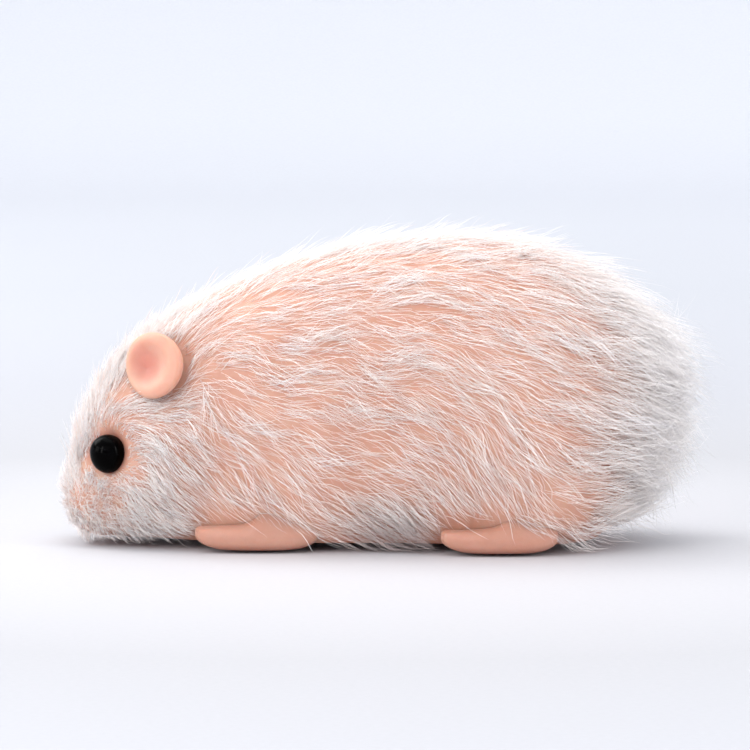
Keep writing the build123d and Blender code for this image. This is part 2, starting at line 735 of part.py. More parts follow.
def motor_screws():
    """Four cross-head screws that hold the motor's feet to the belly plate."""
    with BuildPart() as screws:
        with BuildSketch(Plane.XY.offset(BELLY_Z)):
            with Locations(*foot_places(-1), *foot_places(1)):
                Circle(SCREW_HEAD_RADIUS)
        extrude(amount=SCREW_HEAD)
        with BuildSketch(Plane.XY.offset(BELLY_Z + SCREW_HEAD)):
            with Locations(*foot_places(-1), *foot_places(1)):
                Circle(SCREW_RADIUS)
        extrude(amount=FLOOR_PLATE - SCREW_HEAD + FOOT_THICK + 0.6)
        with BuildSketch(Plane.XY.offset(BELLY_Z)):
            for turn in (0, 90):
                with Locations(*foot_places(-1), *foot_places(1)):
                    Rectangle(1.7, 0.35, rotation=turn)
        extrude(amount=0.4, mode=Mode.SUBTRACT)
    return screws.part


def drive_hub():
    """The left drive wheel's hub, pressed on the axle."""
    rim = DRIVE_RADIUS - TYRE_THICK
    with BuildPart() as hub:
        with BuildSketch(across(DRIVE_WHEEL_X, AXLE_AT)):
            Circle(rim)
            Circle(SHAFT_RADIUS, mode=Mode.SUBTRACT)
        extrude(amount=DRIVE_WHEEL_WIDTH)
        with BuildSketch(across(DRIVE_WHEEL_X + DRIVE_WHEEL_WIDTH, AXLE_AT)):
            Circle(rim - 0.8)
            Circle(SHAFT_RADIUS + 0.9, mode=Mode.SUBTRACT)
        extrude(amount=-0.9, mode=Mode.SUBTRACT)
    return hub.part


def drive_tyre():
    """The left drive wheel's ribbed rubber tyre."""
    groove_width, groove_depth = 0.5, 0.35
    with BuildPart() as tyre:
        with BuildSketch(across(DRIVE_WHEEL_X, AXLE_AT)):
            Circle(DRIVE_RADIUS)
            Circle(DRIVE_RADIUS - TYRE_THICK, mode=Mode.SUBTRACT)
        extrude(amount=DRIVE_WHEEL_WIDTH)
        for share in (0.3, 0.7):
            with BuildSketch(across(DRIVE_WHEEL_X + share * DRIVE_WHEEL_WIDTH - groove_width / 2, AXLE_AT)):
                Circle(DRIVE_RADIUS)
                Circle(DRIVE_RADIUS - groove_depth, mode=Mode.SUBTRACT)
            extrude(amount=groove_width, mode=Mode.SUBTRACT)
    return tyre.part


def front_wheel():
    """The left front wheel, moulded in one piece."""
    with BuildPart() as wheel:
        with BuildSketch(across(FRONT_WHEEL_X, FRONT_AXLE_AT)):
            Circle(FRONT_AXLE_AT[1])
            Circle(FRONT_AXLE_RADIUS, mode=Mode.SUBTRACT)
        extrude(amount=FRONT_WHEEL_WIDTH)
        chamfer(wheel.edges().filter_by(GeomType.CIRCLE).sort_by(SortBy.RADIUS)[-2:], 0.3)
    return wheel.part


# ======================================================================== build and write everything

left_eye = eye()
front_left_paw, rear_left_paw = paw(FRONT_PAW), paw(REAR_PAW)
left_fittings = [left_eye, ear(filled=True), front_left_paw, rear_left_paw]
write(body_skin(left_fittings), "body_skin")
write(fur_coat(left_fittings), "fur_coat")
for label, piece in (("ear", ear()), ("eye", left_eye), ("eye_washer", eye_washer())):
    write(piece, f"left_{label}")
    write(mirrored(piece), f"right_{label}")
for label, piece in (("front", front_left_paw), ("rear", rear_left_paw)):
    write(piece, f"{label}_left_paw")
    write(mirrored(piece), f"{label}_right_paw")
write(key_bush(), "key_bush")
write(belly_plate(), "belly_plate")
write(motor_screws(), "motor_screws")
write(motor_plate(-1), "right_motor_plate")
write(motor_plate(1), "left_motor_plate")
write(frame_pillars(), "frame_pillars")
write(pillar_screws(), "pillar_screws")

# Winding side.
write(winding_arbor(), "winding_arbor")
write(winding_key(), "winding_key")
write(ratchet_wheel(), "ratchet_wheel")
write(mainspring(), "mainspring")
write(click(), "click")
write(click_spring(), "click_spring")

# The train, each gear in mesh with the one before it.
great_phase = 0.0
second_pinion_phase = meshed_phase(great_phase, GREAT_TEETH, ARBOR_AT, PINION_TEETH, SECOND_AT)
second_wheel_phase = 0.0
idler_phase = meshed_phase(second_wheel_phase, SECOND_TEETH, SECOND_AT, IDLER_TEETH, IDLER_AT)
axle_phase = meshed_phase(idler_phase, IDLER_TEETH, IDLER_AT, PINION_TEETH, AXLE_AT)
flywheel_phase = meshed_phase(second_wheel_phase, SECOND_TEETH, SECOND_AT, PINION_TEETH, FLYWHEEL_AT)

great_wheel = gear(
    GREAT_TEETH, great_phase, ARBOR_AT, GREAT_WHEEL_X, WHEEL_THICK, ARBOR_RADIUS + RUNNING_GAP
)
with BuildPart() as great_with_stud:
    add(great_wheel)
    add(click_stud())
write(great_with_stud.part, "great_wheel")
inner_span = (-PLATE_OUTER_X, PLATE_OUTER_X)
write(shaft(SECOND_AT, *inner_span), "second_arbor")
write(
    gear(PINION_TEETH, second_pinion_phase, SECOND_AT, SECOND_PINION_X, PINION_LENGTH, SHAFT_RADIUS),
    "second_pinion",
)
second_wheel = gear(
    SECOND_TEETH, second_wheel_phase, SECOND_AT, SECOND_WHEEL_X, WHEEL_THICK, SHAFT_RADIUS
)
write(lightened(second_wheel, SECOND_AT, SECOND_WHEEL_X, WHEEL_THICK, 4.2, 1.5, 5), "second_wheel")
write(shaft(IDLER_AT, *inner_span), "idler_arbor")
write(gear(IDLER_TEETH, idler_phase, IDLER_AT, PINION_X, PINION_LENGTH, SHAFT_RADIUS), "idler_pinion")
write(shaft(FLYWHEEL_AT, *inner_span), "flywheel_arbor")
write(
    gear(PINION_TEETH, flywheel_phase, FLYWHEEL_AT, PINION_X, PINION_LENGTH, SHAFT_RADIUS),
    "flywheel_pinion",
)
write(flywheel(), "flywheel")

# Wheels.
axle_reach = DRIVE_WHEEL_X + DRIVE_WHEEL_WIDTH + 0.3
write(shaft(AXLE_AT, -axle_reach, axle_reach), "drive_axle")
write(gear(PINION_TEETH, axle_phase, AXLE_AT, PINION_X, PINION_LENGTH, SHAFT_RADIUS), "axle_pinion")
front_reach = FRONT_WHEEL_X + FRONT_WHEEL_WIDTH + 0.2
write(shaft(FRONT_AXLE_AT, -front_reach, front_reach, FRONT_AXLE_RADIUS), "front_axle")
for label, piece in (("drive_hub", drive_hub()), ("drive_tyre", drive_tyre()), ("front_wheel", front_wheel())):
    write(piece, f"left_{label}")
    write(mirrored(piece), f"right_{label}")
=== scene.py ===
"""A wind-up mouse with a soft pink vinyl body, a pale hair coat, bead eyes, bare ears and paws.

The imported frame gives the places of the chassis, eyes, ears, paws and key. This script gives them their
looks. All lengths in the tables below are millimetres about the mouse's own mid-plane, and MM turns them
into metres. A number without a unit in the hair section is a share or a radian.
"""

import json
import math

import bmesh
import bpy
import numpy as np
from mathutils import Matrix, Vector
from mathutils.kdtree import KDTree


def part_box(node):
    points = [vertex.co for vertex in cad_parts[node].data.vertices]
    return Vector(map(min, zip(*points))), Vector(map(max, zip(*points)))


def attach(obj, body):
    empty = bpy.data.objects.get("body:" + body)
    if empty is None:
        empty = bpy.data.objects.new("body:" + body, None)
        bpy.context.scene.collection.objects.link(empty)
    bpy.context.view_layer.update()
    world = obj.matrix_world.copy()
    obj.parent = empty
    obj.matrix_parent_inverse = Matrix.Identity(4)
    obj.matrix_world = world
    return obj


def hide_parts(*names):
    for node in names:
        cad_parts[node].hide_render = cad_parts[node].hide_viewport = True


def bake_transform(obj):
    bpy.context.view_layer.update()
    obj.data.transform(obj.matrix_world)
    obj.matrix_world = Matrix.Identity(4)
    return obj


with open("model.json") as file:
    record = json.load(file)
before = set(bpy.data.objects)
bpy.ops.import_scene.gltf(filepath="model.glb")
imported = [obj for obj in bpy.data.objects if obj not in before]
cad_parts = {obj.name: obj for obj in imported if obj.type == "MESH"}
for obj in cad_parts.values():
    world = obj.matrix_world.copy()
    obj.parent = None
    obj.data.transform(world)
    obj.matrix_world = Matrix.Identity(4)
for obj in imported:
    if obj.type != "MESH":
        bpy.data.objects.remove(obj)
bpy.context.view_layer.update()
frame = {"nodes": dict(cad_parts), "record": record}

MM = 0.001
rng = np.random.default_rng(20260117)
nodes = frame["nodes"]


def middle(node):
    """Centre of a CAD node's box, in millimetres."""
    low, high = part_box(node)
    return (np.array(low) + np.array(high)) / 2 / MM


# The mid-plane of the mouse stands at this x in the row frame.
MID_X = float(middle("frame_pillars")[0])


def unit(v):
    """Vectors along the last axis, each scaled to length 1."""
    return v / np.maximum(np.linalg.norm(v, axis=-1, keepdims=True), 1e-9)


def smooth(low, high, v):
    """0 below low, 1 above high, and a smooth step between."""
    t = np.clip((v - low) / (high - low), 0, 1)
    return t * t * (3 - 2 * t)


# ---------------------------------------------------------------- places taken from the frame
def own(point):
    """A row-frame point in millimetres, seen from the mid-plane."""
    return np.array([point[0] - MID_X, point[1], point[2]])


eye_low, eye_high = (np.array(c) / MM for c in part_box("left_eye"))
EYE_RADIUS = (eye_high[1] - eye_low[1]) / 2
EYE = own((eye_high[0] - EYE_RADIUS, (eye_low[1] + eye_high[1]) / 2, (eye_low[2] + eye_high[2]) / 2))
EAR_SHIFT = np.array([2.9, -0.9, 0.3])
EAR = own(middle("left_ear")) + EAR_SHIFT
EAR_FACING = unit(np.array([0.86, -0.42, 0.29]))
KEY = own(middle("key_bush"))
FRONT_PAW = own(middle("front_left_paw"))
REAR_PAW = own(middle("rear_left_paw"))
plate_low, plate_high = (np.array(c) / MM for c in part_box("belly_plate"))

# ---------------------------------------------------------------- body surface
# Stations along the body: (y, low, high, half width).
STATIONS = np.array(
    [
        (-52.4, 8.0, 9.4, 0.3),
        (-51.9, 5.4, 12.8, 3.2),
        (-50.4, 2.7, 18.6, 6.8),
        (-47.6, 1.0, 25.0, 9.8),
        (-43.5, 0.2, 31.0, 12.2),
        (-38.0, -0.6, 36.0, 14.2),
        (-30.5, -2.5, 40.6, 15.8),
        (-21.5, -4.0, 44.8, 17.2),
        (-10.0, -5.0, 48.3, 19.0),
        (3.0, -5.0, 50.6, 20.8),
        (15.0, -5.0, 51.2, 21.8),
        (25.0, -5.0, 49.9, 21.6),
        (33.0, -2.6, 46.4, 19.4),
        (39.0, 4.0, 41.0, 15.0),
        (42.6, 11.0, 36.4, 10.0),
        (44.3, 16.5, 31.4, 5.2),
        (44.9, 22.6, 25.0, 0.3),
    ]
)
RINGS, AROUND = 170, 192
BELLY_Z = 1.3
LOWER_POWER = 2 / 2.8


def catmull(points, t):
    """Catmull-Rom curve through the rows of points; t runs from 0 to the number of rows less one."""
    padded = np.vstack([2 * points[0] - points[1], points, 2 * points[-1] - points[-2]])
    i = np.clip(t.astype(int), 0, len(points) - 2)
    f = (t - i)[:, None]
    p0, p1, p2, p3 = padded[i], padded[i + 1], padded[i + 2], padded[i + 3]
    return 0.5 * (
        2 * p1 + (p2 - p0) * f + (2 * p0 - 5 * p1 + 4 * p2 - p3) * f**2 + (3 * p1 - p0 - 3 * p2 + p3) * f**3
    )


def even(curve, count):
    """The same curve, with its points evenly spaced."""
    step = np.linalg.norm(np.diff(curve, axis=0), axis=1)
    along = np.concatenate([[0], np.cumsum(step)])
    at = np.linspace(0, along[-1], count)
    return np.stack([np.interp(at, along, curve[:, k]) for k in range(curve.shape[1])], axis=1)


def ring(low, high, half_width):
    """One cross-section as (x, z): an ellipse above its widest line, a fuller superellipse below."""
    angle = np.linspace(0, 2 * np.pi, 720, endpoint=False) - np.pi / 2
    power = np.where(np.sin(angle) >= 0, 1.0, LOWER_POWER)
    x = half_width * np.sign(np.cos(angle)) * np.abs(np.cos(angle)) ** power
    z = np.sign(np.sin(angle)) * np.abs(np.sin(angle)) ** power
    z = (low + high) / 2 + z * (high - low) / 2
    closed = np.stack([x, z], axis=1)
    return even(np.vstack([closed, closed[:1]]), AROUND + 1)[:-1]


# Soft forms in the skin: (x, y, z, reach in x, y, z, height). A negative height is a hollow, and a form
# off the mid-plane is on both sides.
FORMS = [
    (19.0, 27.0, 16.0, 8.0, 11.0, 13.0, 2.2),  # thigh
    (20.0, 30.0, 6.0, 6.0, 6.5, 6.0, 1.5),  # heel of the rear leg
    (15.5, -11.5, 10.5, 6.0, 5.0, 7.0, 1.7),  # front leg
    (15.0, -13.0, 20.0, 7.0, 10.0, 9.0, 0.9),  # shoulder
    (12.5, -39.0, 13.0, 6.0, 6.5, 8.0, 1.1),  # cheek
    (6.0, -50.0, 7.0, 4.0, 3.5, 4.0, 1.0),  # muzzle
    (10.8, -45.4, 16.2, 5.0, 3.6, 3.6, -2.6),  # eye socket
    (10.8, -45.4, 21.4, 3.0, 4.2, 1.5, 0.5),  # brow
    (10.8, -45.4, 10.8, 3.0, 4.2, 1.5, 0.4),  # lower lid
    (9.6, -50.0, 16.0, 3.0, 1.2, 3.6, 0.4),  # front corner of the eye
    (19.5, 2.0, 4.0, 7.0, 9.0, 5.0, -2.0),  # flank between the legs
    (16.5, -29.5, 12.0, 6.0, 3.6, 9.0, -0.7),  # neck
    (8.0, -36.0, 1.8, 5.0, 5.0, 1.5, -1.2),  # throat
    (5.5, -49.0, 3.6, 5.0, 3.2, 0.6, -0.9),  # mouth line
    (0.0, -52.0, 4.6, 0.5, 3.0, 3.2, -0.6),  # groove under the nose
    (2.0, -52.2, 8.4, 0.8, 1.2, 0.7, -0.6),  # nostril
    (0.0, -52.0, 9.6, 3.0, 2.0, 1.8, 0.7),  # nose pad
    (13.0, -37.6, 28.6, 5.0, 4.5, 5.5, -2.8),  # seat of the ear
    (12.0, -41.2, 28.6, 4.0, 2.8, 3.6, -1.3),  # seat of the ear, in front
]


def body_grid():
    """Points of the outer skin as a grid of rings, with their outward directions."""
    dense = catmull(STATIONS, np.linspace(0, len(STATIONS) - 1.0001, 900))
    profile = np.stack([dense[:, 0], dense[:, 2], dense[:, 3], dense[:, 1]], axis=1)
    profile = even(profile, RINGS)
    y, high, half_width, low = profile.T
    half_width = np.maximum(half_width, 0.15)
    high = np.maximum(high, low + 0.3)
    grid = np.zeros((RINGS, AROUND, 3))
    for k in range(RINGS):
        grid[k, :, [0, 2]] = ring(low[k], high[k], half_width[k]).T
        grid[k, :, 1] = y[k]
    for _ in range(2):
        normal = grid_normals(grid)
        push = np.zeros((RINGS, AROUND))
        for fx, fy, fz, rx, ry, rz, height in FORMS:
            for side in (-1, 1) if fx else (1,):
                d = ((grid[..., 0] - side * fx) / rx) ** 2
                d += ((grid[..., 1] - fy) / ry) ** 2 + ((grid[..., 2] - fz) / rz) ** 2
                push += height * np.exp(-d) / 2
        grid = grid + normal * push[..., None]
    z = grid[..., 2]
    grid[..., 2] = (z + BELLY_Z + np.sqrt((z - BELLY_Z) ** 2 + 0.5)) / 2
    return grid, grid_normals(grid)


def grid_normals(grid):
    """Outward unit normals of a closed ring grid."""
    along = np.gradient(grid, axis=0)
    around = np.roll(grid, -1, axis=1) - np.roll(grid, 1, axis=1)
    return unit(np.cross(along, around))


def to_row(points):
    """Points in millimetres about the mid-plane, as metres in the row frame."""
    return (np.asarray(points) + np.array([MID_X, 0, 0])) * MM


def mesh_piece(name, points, faces, smooth_shaded=True):
    """A mesh object from row-frame points in metres and a list of faces."""
    mesh = bpy.data.meshes.new(name)
    mesh.from_pydata([tuple(p) for p in points], [], faces)
    mesh.update()
    mesh.polygons.foreach_set("use_smooth", [smooth_shaded] * len(mesh.polygons))
    obj = bpy.data.objects.new(name, mesh)
    bpy.context.scene.collection.objects.link(obj)
    return obj


def grid_faces(rings, around, caps=True):
    """Quads of a closed ring grid, and a fan over each end through two extra points."""
    faces = []
    for i in range(rings - 1):
        for j in range(around):
            k = (j + 1) % around
            faces.append((i * around + j, (i + 1) * around + j, (i + 1) * around + k, i * around + k))
    if caps:
        first, last = rings * around, rings * around + 1
        for j in range(around):
            k = (j + 1) % around
            faces.append((first, j, k))
            faces.append((last, (rings - 1) * around + k, (rings - 1) * around + j))
    return faces


def paint_blush(obj, amounts):
    """Stores how strongly each point of the mesh is blushed."""
    obj.data.attributes.new("blush", "FLOAT", "POINT").data.foreach_set("value", amounts)


def apply_modifiers(obj):
    """The object's mesh with its modifiers worked in."""
    bpy.context.view_layer.update()
    graph = bpy.context.evaluated_depsgraph_get()
    mesh = bpy.data.meshes.new_from_object(obj.evaluated_get(graph))
    old = obj.data
    obj.modifiers.clear()
    obj.data = mesh
    bpy.data.meshes.remove(old)


def finish_piece(obj, body, slot_name, material, *replaced):
    """Gives a piece its material and body, and hides the CAD nodes that it stands for."""
    obj.data.materials.clear()
    obj.data.materials.append(material)
    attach(obj, body)
    if replaced:
        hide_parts(*replaced)


# ---------------------------------------------------------------- materials
class Shader:
    """A node material under construction: one Principled shader and helpers for what feeds it."""

    def __init__(self, name, **values):
        self.material = bpy.data.materials.new(name)
        self.material.use_nodes = True
        self.tree = self.material.node_tree
        self.shader = self.tree.nodes["Principled BSDF"]
        self.coords = self.tree.nodes.new("ShaderNodeTexCoord").outputs["Object"]
        for key, value in values.items():
            self.shader.inputs[key.replace("_", " ")].default_value = value

    def node(self, kind, **inputs):
        """A new node; each input is a constant, or a socket to link."""
        made = self.tree.nodes.new(kind)
        for key, value in inputs.items():
            socket = made.inputs[key.replace("_", " ")]
            if isinstance(value, bpy.types.NodeSocket):
                self.tree.links.new(value, socket)
            else:
                socket.default_value = value
        return made

    def noise(self, scale, detail=4.0, roughness=0.5, vector=None):
        """A noise of that many features per metre."""
        made = self.node("ShaderNodeTexNoise", Scale=scale, Detail=detail, Roughness=roughness)
        self.tree.links.new(vector or self.coords, made.inputs["Vector"])
        return made.outputs["Fac"]

    def stretched(self, scale):
        """Object coordinates scaled unevenly, for streaks."""
        mapping = self.tree.nodes.new("ShaderNodeMapping")
        mapping.inputs["Scale"].default_value = scale
        self.tree.links.new(self.coords, mapping.inputs["Vector"])
        return mapping.outputs["Vector"]

    def ramp(self, factor, *stops):
        """Colours or greys spread over a factor: (position, colour) pairs."""
        made = self.tree.nodes.new("ShaderNodeValToRGB")
        ramp = made.color_ramp
        while len(ramp.elements) < len(stops):
            ramp.elements.new(0.5)
        for element, (position, colour) in zip(ramp.elements, stops):
            element.position = position
            element.color = (*colour, 1) if len(colour) == 3 else (colour[0],) * 3 + (1,)
        self.tree.links.new(factor, made.inputs["Fac"])
        return made.outputs["Color"]

    def mix(self, factor, a, b, blend="MIX"):
        """Colour a blended with colour b by the factor."""
        made = self.tree.nodes.new("ShaderNodeMix")
        made.data_type = "RGBA"
        made.blend_type = blend
        for socket, value in ((made.inputs[0], factor), (made.inputs[6], a), (made.inputs[7], b)):
            if isinstance(value, bpy.types.NodeSocket):
                self.tree.links.new(value, socket)
            else:
                socket.default_value = value if isinstance(value, float) else (*value, 1)
        return made.outputs[2]

    def feed(self, **links):
        """Links sockets to the shader's inputs."""
        for key, value in links.items():
            self.tree.links.new(value, self.shader.inputs[key.replace("_", " ")])

    def bump(self, height, distance, strength):
        """Relief of that many metres at full height."""
        made = self.node("ShaderNodeBump", Height=height, Distance=distance, Strength=strength)
        self.feed(Normal=made.outputs["Normal"])


def linear(r, g, b):
    """A display colour of 0 to 255 as linear light."""
    return tuple(((c / 255 + 0.055) / 1.055) ** 2.4 if c > 10 else c / 255 / 12.92 for c in (r, g, b))


def vinyl(name, light, deep, blush):
    """Soft vinyl: mottled, finely pored, translucent, and of a deeper colour where blush is painted."""
    s = Shader(name, Roughness=0.5, Subsurface_Weight=0.55, Subsurface_Scale=0.004, IOR=1.42)
    s.shader.inputs["Subsurface Radius"].default_value = (1.0, 0.42, 0.25)
    mottle = s.noise(120, 5.0, 0.6)
    fine = s.noise(900, 3.0, 0.6)
    tone = s.ramp(mottle, (0.32, deep), (0.68, light))
    flesh = s.mix(s.ramp(fine, (0.45, (0.0,)), (0.75, (0.3,))), tone, deep)
    painted = s.node("ShaderNodeAttribute")
    painted.attribute_name = "blush"
    s.feed(Base_Color=s.mix(painted.outputs["Fac"], flesh, blush))
    s.feed(Roughness=s.ramp(mottle, (0.3, (0.42,)), (0.7, (0.58,))))
    s.bump(s.noise(2600, 4.0, 0.7), 0.00006, 0.6)
    return s.material


def metal(name, colour, dark, rough=(0.22, 0.42), streaks=(1, 1, 1)):
    """Metal with a drawn or turned grain, some dullness, and darker marks."""
    s = Shader(name, Metallic=1.0)
    grain = s.noise(5000, 6.0, 0.7, s.stretched(streaks))
    patches = s.noise(260, 5.0, 0.6)
    s.feed(Base_Color=s.ramp(patches, (0.35, dark), (0.62, colour)))
    s.feed(Roughness=s.ramp(grain, (0.3, (rough[0],)), (0.7, (rough[1],))))
    s.bump(grain, 0.00001, 0.5)
    return s.material


def plastic(name, colour, worn, rough=(0.35, 0.55)):
    """Moulded plastic or rubber with a fine grain and scuffs."""
    s = Shader(name)
    scuffs = s.noise(400, 6.0, 0.65)
    s.feed(Base_Color=s.ramp(scuffs, (0.45, colour), (0.8, worn)))
    s.feed(Roughness=s.ramp(scuffs, (0.3, (rough[0],)), (0.7, (rough[1],))))
    s.bump(s.noise(6000, 3.0, 0.5), 0.00002, 0.6)
    return s.material


def hair(name):
    """Glossy synthetic hair, each in its own tone: pale tips, roots pink by painted light, painted shade at
    the belly.
    """
    s = Shader(name, Roughness=0.26, IOR=1.52, Sheen_Weight=0.6, Sheen_Roughness=0.35)
    along, tone, shade = (s.node("ShaderNodeAttribute") for _ in range(3))
    for reader, attribute in ((along, "along"), (tone, "tone"), (shade, "shade")):
        reader.attribute_name = attribute
    tip = s.ramp(
        tone.outputs["Fac"],
        (0.0, linear(246, 222, 212)),
        (0.12, linear(242, 226, 219)),
        (0.3, linear(248, 241, 237)),
        (0.8, linear(252, 248, 246)),
        (1.0, linear(236, 232, 236)),
    )
    # Painted light: the pink towards the roots stands in for the skin's colour seen through the translucent
    # hair.
    painted_root_translucence = s.ramp(s.noise(700, 3.0, 0.6), (0.35, linear(230, 188, 168)), (0.65, linear(240, 208, 194)))
    body = s.mix(s.ramp(along.outputs["Fac"], (0.0, (0.0,)), (0.36, (1.0,))), painted_root_translucence, tip)
    # The brown mixed in here is painted shade: it darkens hair low under the belly, near the floor.
    s.feed(Base_Color=s.mix(shade.outputs["Fac"], body, linear(160, 130, 126)))
    return s.material


skin_vinyl = vinyl("skin_vinyl", linear(208, 162, 142), linear(195, 143, 122), linear(184, 122, 104))
ear_vinyl = vinyl("ear_vinyl", linear(207, 160, 140), linear(198, 147, 126), linear(196, 132, 116))
paw_vinyl = vinyl("paw_vinyl", linear(188, 143, 125), linear(176, 126, 107), linear(166, 106, 90))

bead = Shader("bead_black", Roughness=0.06, IOR=1.36, Specular_IOR_Level=0.045)
bead.feed(Base_Color=bead.ramp(bead.noise(500), (0.3, (0.0002,)), (0.8, (0.0007, 0.0005, 0.0007))))
bead.feed(Roughness=bead.ramp(bead.noise(1500, 6.0, 0.7), (0.4, (0.05,)), (0.8, (0.14,))))

SLOT_MATERIALS = {
    "vinyl_skin": skin_vinyl,
    "ear_vinyl": ear_vinyl,
    "paw_vinyl": paw_vinyl,
    "bead_black": bead.material,
    "washer_steel": metal("washer_steel", (0.6, 0.6, 0.6), (0.42, 0.42, 0.43)),
    "bush_brass": metal("bush_brass", (0.74, 0.53, 0.22), (0.5, 0.33, 0.12)),
    "plate_plastic": plastic("plate_plastic", linear(214, 168, 150), linear(196, 150, 134)),
    "screw_steel": metal("screw_steel", (0.62, 0.63, 0.66), (0.4, 0.4, 0.42)),
    "frame_steel": metal("frame_steel", (0.68, 0.69, 0.72), (0.5, 0.51, 0.53), streaks=(1, 0.05, 1)),
    "pillar_brass": metal("pillar_brass", (0.78, 0.58, 0.28), (0.55, 0.38, 0.16), streaks=(0.05, 1, 1)),
    "key_nickel": metal("key_nickel", (0.74, 0.72, 0.68), (0.5, 0.48, 0.44), rough=(0.16, 0.34)),
    "arbor_steel": metal("arbor_steel", (0.55, 0.55, 0.57), (0.36, 0.36, 0.38), streaks=(0.05, 1, 1)),
    "spring_steel": metal("spring_steel", (0.16, 0.2, 0.34), (0.08, 0.1, 0.17), streaks=(1, 0.05, 1)),
    "wheel_brass": metal("wheel_brass", (0.8, 0.6, 0.28), (0.58, 0.4, 0.16)),
    "pinion_steel": metal("pinion_steel", (0.56, 0.56, 0.58), (0.38, 0.38, 0.4), streaks=(0.05, 1, 1)),
    "hub_plastic": plastic("hub_plastic", (0.03, 0.03, 0.033), (0.07, 0.07, 0.07)),
    "tyre_rubber": plastic("tyre_rubber", (0.012, 0.012, 0.012), (0.05, 0.048, 0.045), rough=(0.6, 0.85)),
}
hair_strands = hair("hair_strands")

for part in frame["record"]["subparts"]:
    if part["material_slot"] in SLOT_MATERIALS:
        node_mesh = nodes[part["node"]].data
        node_mesh.materials.clear()
        node_mesh.materials.append(SLOT_MATERIALS[part["material_slot"]])

for name, width in (("winding_key", 0.35), ("key_bush", 0.15), ("belly_plate", 0.15)):
    edge = nodes[name].modifiers.new("worn edges", "BEVEL")
    edge.width, edge.segments, edge.limit_method = width * MM, 3, "ANGLE"
    edge.angle_limit = math.radians(40)
    edge.harden_normals = True

# ---------------------------------------------------------------- eyes
BEAD_STRETCH = 1.17
# A vertex this close to the sphere, in millimetres, is on the bead and not on its stem.
ON_BEAD = 0.06


def make_eye(side, node):
    """The CAD's eye on its stem, with the lower half of its bead drawn down into an egg shape."""
    bead_mesh = nodes[node].data.copy()
    centre = EYE * np.array([side, 1, 1]) + np.array([MID_X, 0, 0])
    for vertex in bead_mesh.vertices:
        place = np.array(vertex.co) / MM - centre
        if place[2] < 0 and abs(np.linalg.norm(place) - EYE_RADIUS) < ON_BEAD:
            vertex.co.z += place[2] * (BEAD_STRETCH - 1) * MM
    obj = bpy.data.objects.new(f"{node}_bead", bead_mesh)
    bpy.context.scene.collection.objects.link(obj)
    finish_piece(obj, "body", "bead_black", bead.material, node)


# ---------------------------------------------------------------- click spring
# The edges longer than LONG_EDGE get LEAF_CUTS cuts.
LONG_EDGE = 1.5
LEAF_CUTS = 9


def bending_leaf():
    """The click's leaf spring, with its long edges cut into short lengths."""
    leaf = bpy.data.objects.new("click_leaf", nodes["click_spring"].data.copy())
    bpy.context.scene.collection.objects.link(leaf)
    leaf.data.materials.clear()
    edit = bmesh.new()
    edit.from_mesh(leaf.data)
    long_edges = [edge for edge in edit.edges if edge.calc_length() > LONG_EDGE * MM]
    bmesh.ops.subdivide_edges(edit, edges=long_edges, cuts=LEAF_CUTS)
    edit.to_mesh(leaf.data)
    edit.free()
    leaf.data.materials.append(SLOT_MATERIALS["spring_steel"])
    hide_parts("click_spring")
    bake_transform(leaf)


bending_leaf()
make_eye(1, "left_eye")
make_eye(-1, "right_eye")

# ---------------------------------------------------------------- skin
SKIN_WALL = 1.5
BUSH_HOLE_RADIUS = 2.45
skin_grid, skin_normals = body_grid()
skin_points = np.vstack([skin_grid.reshape(-1, 3), skin_grid[0].mean(0), skin_grid[-1].mean(0)])
NOSE_TIP = np.array([0.0, skin_grid[0].mean(0)[1], 5.5])
skin = mesh_piece("mouse_skin", to_row(skin_points), grid_faces(RINGS, AROUND))


def prism(name, outline, low, high, sideways=False):
    """A closed block over an outline: of (x, y) points upright, or of (y, z) points if it lies sideways."""
    count = len(outline)
    points = np.array([(*p, level) for level in (low, high) for p in outline])
    if sideways:
        points = points[:, [2, 0, 1]]
    faces = [tuple(range(count))[::-1], tuple(range(count, 2 * count))]
    faces += [(i, (i + 1) % count, count + (i + 1) % count, count + i) for i in range(count)]
    return mesh_piece(name, to_row(points), faces, smooth_shaded=False)


def cut(obj, tool):
    """Takes the tool's volume out of the object."""
    boolean = obj.modifiers.new("cut", "BOOLEAN")
    boolean.operation, boolean.solver, boolean.object = "DIFFERENCE", "EXACT", tool
    apply_modifiers(obj)
    bpy.data.objects.remove(tool)


# Blush round the eyes and on the nose, and a deeper colour low down near the floor.
eye_gap = np.linalg.norm((skin_points - EYE) * [0, 1, 1], axis=1)
rim_blush = 0.9 * (1 - smooth(EYE_RADIUS, EYE_RADIUS + 1.2, eye_gap)) * (skin_points[:, 1] < -38)
nose_blush = 0.8 * (1 - smooth(1.5, 4.5, np.linalg.norm(skin_points - NOSE_TIP, axis=1)))
deeper_near_floor = 0.5 * (1 - smooth(1.0, 5.0, skin_points[:, 2]))
paint_blush(skin, np.maximum.reduce([rim_blush, nose_blush, deeper_near_floor]))
bpy.context.view_layer.update()
wall = skin.modifiers.new("wall", "SOLIDIFY")
wall.thickness, wall.offset = SKIN_WALL * MM, -1
apply_modifiers(skin)

# The opening for the belly plate, narrow in front and wide behind, and the round hole for the key's bush.
front_y, rear_y = plate_low[1] + 1.2, plate_high[1] - 1.2
half = [(10.6, front_y), (10.6, -9.0), (14.1, 6.0), (14.1, rear_y)]
opening = half + [(-x, y) for x, y in half[::-1]]
cut(skin, prism("opening_tool", opening, -2.0, 3.6))
bush_turns = np.linspace(0, 2 * np.pi, 48, endpoint=False)
bush_hole = [
    (KEY[1] + math.cos(a) * BUSH_HOLE_RADIUS, KEY[2] + math.sin(a) * BUSH_HOLE_RADIUS) for a in bush_turns
]
cut(skin, prism("bush_tool", bush_hole, KEY[0] - 8, KEY[0] + 8, sideways=True))
finish_piece(skin, "body", "vinyl_skin", skin_vinyl, "body_skin")


# ---------------------------------------------------------------- ears
EAR_RADIUS = 5.95


